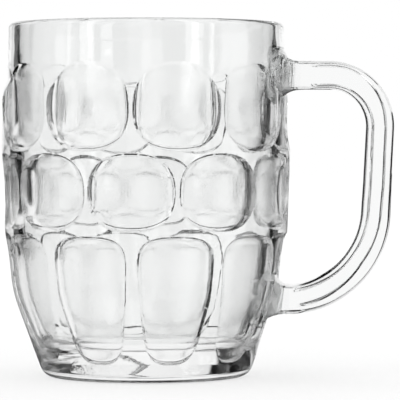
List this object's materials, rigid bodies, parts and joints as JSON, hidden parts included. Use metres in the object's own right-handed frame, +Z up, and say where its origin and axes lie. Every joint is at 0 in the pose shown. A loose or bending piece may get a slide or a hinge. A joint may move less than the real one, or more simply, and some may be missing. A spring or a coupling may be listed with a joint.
{
  "type": "dimpled glass beer mug",
  "caption": "Clear pressed-glass pint mug with staggered rows of thumb hollows, a plain rim, a heavy base and a welded D-shaped glass handle.",
  "frame": {"origin": "on the mug's axis, in the plane that it stands on", "axes": "+Z up along the mug's axis, +X from the axis towards the handle"},
  "size_m": [0.1344, 0.1, 0.121],
  "materials": {
    "body_glass": "clear pressed soda-lime glass, fire-polished",
    "handle_glass": "clear pressed soda-lime glass, fire-polished"
  },
  "bodies": {
    "root": {"glass_body": "body_glass", "handle": "handle_glass"}
  },
  "joints": []
}
